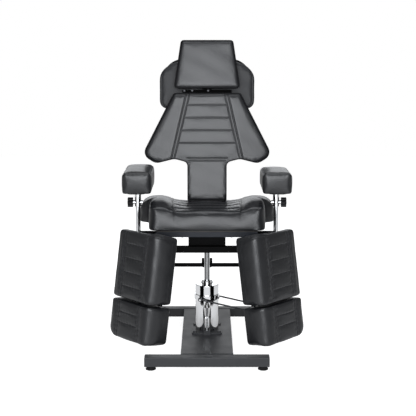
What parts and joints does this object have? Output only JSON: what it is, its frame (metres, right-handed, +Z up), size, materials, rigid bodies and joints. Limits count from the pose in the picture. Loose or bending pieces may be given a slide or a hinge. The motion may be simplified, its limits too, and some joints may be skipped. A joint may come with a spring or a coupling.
{
  "type": "tattoo chair",
  "caption": "Hydraulic tattoo chair with split swivelling leg rests, winged reclining back, headrest, face cradle and armrests.",
  "frame": {"origin": "on the floor under the lifting column", "axes": "+Z up, -Y the way the chair faces, +X to the right of a viewer facing the chair"},
  "size_m": [0.8978, 0.8619, 1.5022],
  "materials": {
    "black_leather": "soft-sheen grained black upholstery leatherette",
    "base_paint": "satin anthracite powder coat",
    "frame_paint": "satin blue-black powder coat",
    "black_paint": "satin black powder coat",
    "chrome": "polished chrome plate",
    "steel": "bright zinc-plated steel",
    "rubber": "matt black rubber",
    "black_plastic": "moulded black plastic",
    "plywood": "sealed plywood"
  },
  "bodies": {
    "base": {"front_crossbeam": "base_paint", "rear_crossbeam": "base_paint", "base_plate": "base_paint", "levelling_feet": "rubber", "pump_flange": "black_paint", "flange_bolts": "black_paint", "pump_cylinder": "chrome", "gland_collar": "chrome", "pedal_pump_barrel": "steel", "lever_clamp": "chrome"},
    "pedal": {"pedal_yoke": "steel", "pedal_pad": "rubber"},
    "plunger": {"pump_plunger": "chrome"},
    "ram": {"piston_rod": "chrome", "swivel_spindle": "steel"},
    "carriage": {"mount_housing": "black_paint", "swivel_hub": "steel", "leg_crossbar": "black_paint", "front_rail": "frame_paint", "rear_rail": "frame_paint", "long_rails": "frame_paint", "seat_board": "plywood", "seat_cushion": "black_leather", "recline_hinge": "black_paint", "release_brackets": "black_paint", "armrest_outriggers": "black_paint", "armrest_posts": "chrome"},
    "release": {"release_shaft": "steel", "release_arms": "black_paint", "release_bar": "black_paint", "brake_shoes": "steel"},
    "back": {"back_spine": "black_paint", "brake_sectors": "steel", "back_board": "plywood", "back_cushion": "black_leather", "mast_socket": "black_paint", "cradle_bracket": "black_paint"},
    "mast": {"headrest_mast": "black_paint"},
    "head": {"head_board": "plywood", "head_cushion": "black_leather"},
    "cradle": {"cradle_board": "black_paint", "cradle_cushion": "black_leather"},
    "left_sleeve": {"left_armrest_sleeve": "chrome"},
    "left_armrest": {"left_armrest_plate": "black_paint", "left_armrest_cushion": "black_leather"},
    "left_knob": {"left_clamp_knob": "black_plastic"},
    "left_leg_swivel": {"left_leg_bracket": "black_paint"},
    "left_leg": {"left_leg_frame": "black_paint", "left_calf_cushion": "black_leather"},
    "left_foot": {"left_foot_frame": "black_paint", "left_foot_cushion": "black_leather"},
    "right_sleeve": {"right_armrest_sleeve": "chrome"},
    "right_armrest": {"right_armrest_plate": "black_paint", "right_armrest_cushion": "black_leather"},
    "right_knob": {"right_clamp_knob": "black_plastic"},
    "right_leg_swivel": {"right_leg_bracket": "black_paint"},
    "right_leg": {"right_leg_frame": "black_paint", "right_calf_cushion": "black_leather"},
    "right_foot": {"right_foot_frame": "black_paint", "right_foot_cushion": "black_leather"}
  },
  "joints": [
    {"name": "pedal_press", "type": "hinge", "parent": "base", "child": "pedal", "pos_m": [-0.035, 0, 0.243], "axis": [0, 1, 0], "range_deg": [0, 12], "stiffness_Nm_per_rad": 10, "springref_deg": -20.05},
    {"name": "plunger_stroke", "type": "slide", "parent": "base", "child": "plunger", "axis": [0, 0, -1], "range_m": [0, 0.0105]},
    {"name": "column_lift", "type": "slide", "parent": "base", "child": "ram", "axis": [0, 0, 1], "range_m": [-0.035, 0.06]},
    {"name": "seat_swivel", "type": "hinge", "parent": "ram", "child": "carriage", "pos_m": [0, 0, 0.5], "axis": [0, 0, 1], "continuous": true},
    {"name": "release_pull", "type": "hinge", "parent": "carriage", "child": "release", "pos_m": [0, 0.205, 0.534], "axis": [-1, 0, 0], "range_deg": [0, 12], "stiffness_Nm_per_rad": 6, "springref_deg": -17.19},
    {"name": "back_recline", "type": "hinge", "parent": "carriage", "child": "back", "pos_m": [0, 0.3, 0.577], "axis": [-1, 0, 0], "range_deg": [0, 78]},
    {"name": "headrest_height", "type": "slide", "parent": "back", "child": "mast", "axis": [0, 0.1219, 0.9925], "range_m": [0, 0.08]},
    {"name": "headrest_tilt", "type": "hinge", "parent": "mast", "child": "head", "pos_m": [0, 0.3579, 1.27011], "axis": [1, 0, 0], "range_deg": [0, 15]},
    {"name": "cradle_tilt", "type": "hinge", "parent": "back", "child": "cradle", "pos_m": [0, 0.40137, 1.13178], "axis": [-1, 0, 0], "range_deg": [0, 60]},
    {"name": "left_armrest_height", "type": "slide", "parent": "carriage", "child": "left_sleeve", "axis": [0, 0, 1], "range_m": [0, 0.05]},
    {"name": "left_armrest_swing", "type": "hinge", "parent": "left_sleeve", "child": "left_armrest", "pos_m": [-0.344, 0.045, 0.77], "axis": [0, 0, -1], "range_deg": [0, 90]},
    {"name": "left_knob_turn", "type": "hinge", "parent": "left_sleeve", "child": "left_knob", "pos_m": [-0.38, 0.045, 0.712], "axis": [-1, 0, 0], "continuous": true},
    {"name": "left_leg_turn", "type": "hinge", "parent": "carriage", "child": "left_leg_swivel", "pos_m": [-0.19, -0.085, 0.502], "axis": [0, 0, 1], "range_deg": [-10, 46]},
    {"name": "left_leg_raise", "type": "hinge", "parent": "left_leg_swivel", "child": "left_leg", "pos_m": [-0.228, -0.181, 0.582], "axis": [-0.6947, 0.7193, 0], "range_deg": [0, 80]},
    {"name": "left_foot_slide", "type": "slide", "parent": "left_leg", "child": "left_foot", "axis": [-0.1138, -0.1099, -0.9874], "range_m": [0, 0.03]},
    {"name": "right_armrest_height", "type": "slide", "parent": "carriage", "child": "right_sleeve", "axis": [0, 0, 1], "range_m": [0, 0.05]},
    {"name": "right_armrest_swing", "type": "hinge", "parent": "right_sleeve", "child": "right_armrest", "pos_m": [0.344, 0.045, 0.77], "axis": [0, 0, 1], "range_deg": [0, 90]},
    {"name": "right_knob_turn", "type": "hinge", "parent": "right_sleeve", "child": "right_knob", "pos_m": [0.38, 0.045, 0.712], "axis": [1, 0, 0], "continuous": true},
    {"name": "right_leg_turn", "type": "hinge", "parent": "carriage", "child": "right_leg_swivel", "pos_m": [0.19, -0.085, 0.502], "axis": [0, 0, -1], "range_deg": [-10, 46]},
    {"name": "right_leg_raise", "type": "hinge", "parent": "right_leg_swivel", "child": "right_leg", "pos_m": [0.228, -0.181, 0.582], "axis": [-0.6947, -0.7193, 0], "range_deg": [0, 80]},
    {"name": "right_foot_slide", "type": "slide", "parent": "right_leg", "child": "right_foot", "axis": [0.1138, -0.1099, -0.9874], "range_m": [0, 0.03]}
  ],
  "couplings": [
    {"joint": "plunger_stroke", "follows": "pedal_press", "m_per_rad": 0.049}
  ]
}
